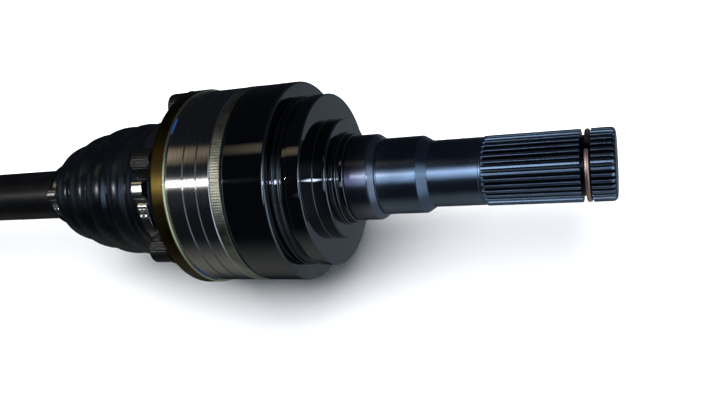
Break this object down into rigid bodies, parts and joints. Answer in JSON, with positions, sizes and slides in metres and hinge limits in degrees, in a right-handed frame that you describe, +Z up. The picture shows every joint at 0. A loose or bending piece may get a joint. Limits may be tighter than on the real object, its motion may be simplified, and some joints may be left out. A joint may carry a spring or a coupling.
{
  "type": "drive axle with cv joints",
  "caption": "Drive axle: a bar with a booted, bolted constant-velocity joint at each end, a splined gearbox stub on one and a hub stub on the other.",
  "frame": {"origin": "on the axle's axis, midway between the two tips", "axes": "+X along the axle towards the gearbox stub's splined tip, +Z up, +Y completes a right-handed frame"},
  "size_m": [0.7736, 0.1108, 0.1108],
  "materials": {
    "bar_black": "satin black paint",
    "spring_steel": "satin",
    "bearing_steel": "ground, oiled",
    "ball_steel": "polished",
    "turned_steel": "fine turned, bright",
    "pale_zinc": "pale zinc plating",
    "blue_sealant": "satin",
    "yellow_zinc": "yellow passivated zinc plating",
    "black_oxide": "black oxide",
    "boot_rubber": "satin black rubber",
    "stainless_band": "bright stainless strip",
    "stub_steel": "dark tempered steel, ground and glossy",
    "copper_ring": "copper plated spring wire"
  },
  "bodies": {
    "shaft": {"axle_shaft": "bar_black", "diff_outer_stop_ring": "spring_steel", "diff_inner_stop_ring": "spring_steel", "diff_small_boot_clamp": "stainless_band", "wheel_outer_stop_ring": "spring_steel", "wheel_inner_stop_ring": "spring_steel", "wheel_small_boot_clamp": "stainless_band"},
    "diff_star": {"diff_inner_race": "bearing_steel"},
    "diff_carrier": {"diff_cage": "bearing_steel", "diff_balls": "ball_steel"},
    "diff_housing": {"diff_outer_race": "turned_steel", "diff_end_cap": "pale_zinc", "diff_gasket": "blue_sealant", "diff_boot_flange": "yellow_zinc", "diff_washers": "black_oxide", "diff_bolts": "black_oxide", "diff_boot": "boot_rubber", "diff_large_boot_clamp": "stainless_band", "diff_stub": "stub_steel", "diff_snap_ring": "copper_ring"},
    "wheel_star": {"wheel_inner_race": "bearing_steel"},
    "wheel_carrier": {"wheel_cage": "bearing_steel", "wheel_balls": "ball_steel"},
    "wheel_housing": {"wheel_outer_race": "turned_steel", "wheel_end_cap": "pale_zinc", "wheel_gasket": "blue_sealant", "wheel_boot_flange": "yellow_zinc", "wheel_washers": "black_oxide", "wheel_bolts": "black_oxide", "wheel_boot": "boot_rubber", "wheel_large_boot_clamp": "stainless_band", "wheel_stub": "stub_steel", "wheel_hub_washer": "pale_zinc", "wheel_hub_nut": "pale_zinc"}
  },
  "joints": [
    {"name": "diff_plunge", "type": "slide", "parent": "shaft", "child": "diff_star", "axis": [1, 0, 0], "range_m": [-0.009, 0.009], "deforming": ["diff_boot"]},
    {"name": "diff_swing_up_down", "type": "hinge", "parent": "diff_star", "child": "diff_carrier", "pos_m": [0.1832, 0, 0], "axis": [0, 1, 0], "range_deg": [-17, 17], "deforming": ["diff_boot"]},
    {"name": "diff_swing_sideways", "type": "hinge", "parent": "diff_carrier", "child": "diff_housing", "pos_m": [0.1832, 0, 0], "axis": [0, 0, 1], "range_deg": [-17, 17], "deforming": ["diff_boot"]},
    {"name": "wheel_plunge", "type": "slide", "parent": "shaft", "child": "wheel_star", "axis": [-1, 0, 0], "range_m": [-0.009, 0.009], "deforming": ["wheel_boot"]},
    {"name": "wheel_swing_up_down", "type": "hinge", "parent": "wheel_star", "child": "wheel_carrier", "pos_m": [-0.2368, 0, 0], "axis": [0, 1, 0], "range_deg": [-17, 17], "deforming": ["wheel_boot"]},
    {"name": "wheel_swing_sideways", "type": "hinge", "parent": "wheel_carrier", "child": "wheel_housing", "pos_m": [-0.2368, 0, 0], "axis": [0, 0, 1], "range_deg": [-17, 17], "deforming": ["wheel_boot"]}
  ]
}
